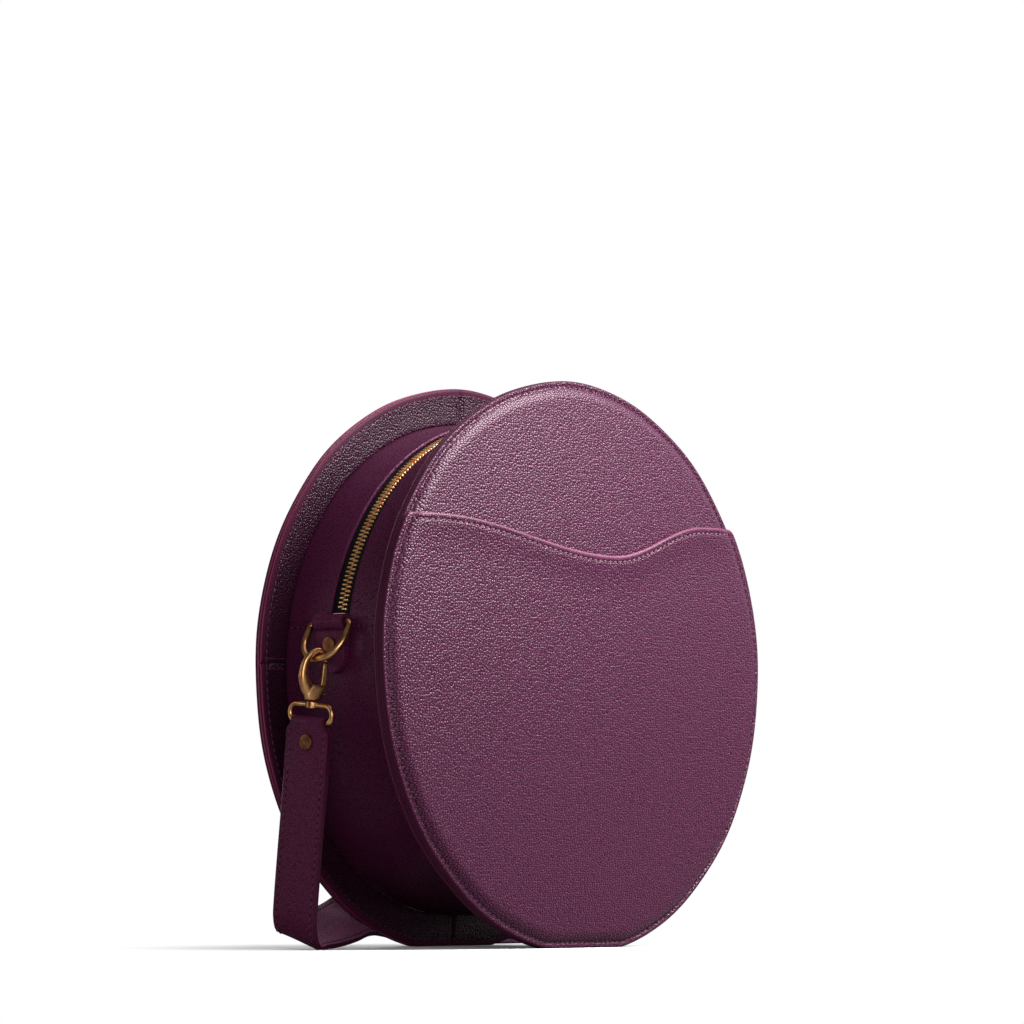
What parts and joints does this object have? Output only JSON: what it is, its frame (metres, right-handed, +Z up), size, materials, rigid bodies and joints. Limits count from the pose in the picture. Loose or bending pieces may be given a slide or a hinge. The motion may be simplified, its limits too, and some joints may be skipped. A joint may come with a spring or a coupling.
{
  "type": "circle bag",
  "caption": "Round leather crossbody bag with a zip along the top of its gusset, a wavy front slip pocket, and a clip-on strap held by swivel clasps in side rings.",
  "frame": {"origin": "on the floor under the middle of the bag, strap left out", "axes": "+X to the bag's right seen from the front, -Y out of the front panel, +Z up"},
  "size_m": [0.2552, 0.14, 0.2476],
  "materials": {
    "panel_leather": "pebbled leather",
    "gusset_leather": "pebbled leather",
    "strap_leather": "pebbled leather",
    "foam": "soft foam",
    "zip_tape": "woven tape",
    "antique_brass": "antiqued",
    "zip_brass": "polished",
    "spring_steel": "plain"
  },
  "bodies": {
    "bag": {"front_panel": "panel_leather", "front_padding": "foam", "front_facing": "panel_leather", "front_pocket": "panel_leather", "back_panel": "panel_leather", "back_padding": "foam", "back_facing": "panel_leather", "lower_gusset": "gusset_leather", "zip_gusset_front": "gusset_leather", "zip_gusset_back": "gusset_leather", "zip_tape_front": "zip_tape", "zip_tape_back": "zip_tape", "zip_teeth_front": "zip_brass", "zip_teeth_back": "zip_brass", "zip_stops": "zip_brass", "left_tab": "strap_leather", "left_tab_rivet": "antique_brass", "right_tab": "strap_leather", "right_tab_rivet": "antique_brass", "left_strap_leg": "strap_leather", "strap_hank": "strap_leather", "right_strap_leg": "strap_leather"},
    "zip_slider": {"zip_slider": "zip_brass"},
    "zip_pull": {"zip_pull": "zip_brass"},
    "left_strap_end": {"left_swivel_eye": "antique_brass", "left_strap_end": "strap_leather", "left_strap_rivet": "antique_brass"},
    "left_ring": {"left_ring": "antique_brass"},
    "left_hook": {"left_hook": "antique_brass", "left_gate_pin": "antique_brass", "left_gate_spring": "spring_steel"},
    "left_gate": {"left_gate": "antique_brass"},
    "right_strap_end": {"right_swivel_eye": "antique_brass", "right_strap_end": "strap_leather", "right_strap_rivet": "antique_brass"},
    "right_ring": {"right_ring": "antique_brass"},
    "right_hook": {"right_hook": "antique_brass", "right_gate_pin": "antique_brass", "right_gate_spring": "spring_steel"},
    "right_gate": {"right_gate": "antique_brass"}
  },
  "joints": [
    {"name": "zip_travel", "type": "hinge", "parent": "bag", "child": "zip_slider", "pos_m": [0, 0.00485, 0.1225], "axis": [0, -1, 0], "range_deg": [0, 140], "deforming": ["zip_teeth_front", "zip_teeth_back"]},
    {"name": "pull_swing", "type": "hinge", "parent": "zip_slider", "child": "zip_pull", "pos_m": [0.10221, 0.00485, 0.16681], "axis": [0, -1, 0], "range_deg": [0, 135]},
    {"name": "left_strap_swing", "type": "hinge", "parent": "bag", "child": "left_strap_end", "pos_m": [-0.1116, 0.00485, 0.1397], "axis": [0, 1, 0], "range_deg": [0, 40], "deforming": ["left_strap_leg"]},
    {"name": "left_ring_swing", "type": "hinge", "parent": "bag", "child": "left_ring", "pos_m": [-0.1116, 0.00485, 0.1397], "axis": [0, 1, 0], "range_deg": [0, 40]},
    {"name": "left_swivel", "type": "hinge", "parent": "left_strap_end", "child": "left_hook", "pos_m": [-0.1213, 0.0069, 0.1062], "axis": [0, -0.1045, 0.9945], "range_deg": [0, 45]},
    {"name": "left_gate_open", "type": "hinge", "parent": "left_hook", "child": "left_gate", "pos_m": [-0.11732, 0.00457, 0.11058], "axis": [-0.4226, -0.9013, -0.0947], "range_deg": [0, 18], "stiffness_Nm_per_rad": 0.01, "springref_deg": -17.19},
    {"name": "right_strap_swing", "type": "hinge", "parent": "bag", "child": "right_strap_end", "pos_m": [0.1116, 0.00485, 0.1397], "axis": [0, -1, 0], "range_deg": [0, 40], "deforming": ["right_strap_leg"]},
    {"name": "right_ring_swing", "type": "hinge", "parent": "bag", "child": "right_ring", "pos_m": [0.1116, 0.00485, 0.1397], "axis": [0, -1, 0], "range_deg": [0, 40]},
    {"name": "right_swivel", "type": "hinge", "parent": "right_strap_end", "child": "right_hook", "pos_m": [0.1213, 0.00648, 0.10615], "axis": [0, -0.1045, 0.9945], "range_deg": [0, 45]},
    {"name": "right_gate_open", "type": "hinge", "parent": "right_hook", "child": "right_gate", "pos_m": [0.11732, 0.00785, 0.11092], "axis": [0.4226, 0.9013, 0.0947], "range_deg": [0, 18], "stiffness_Nm_per_rad": 0.01, "springref_deg": -17.19}
  ],
  "couplings": [
    {"joint": "left_ring_swing", "follows": "left_strap_swing", "ratio": 1},
    {"joint": "right_ring_swing", "follows": "right_strap_swing", "ratio": 1}
  ]
}
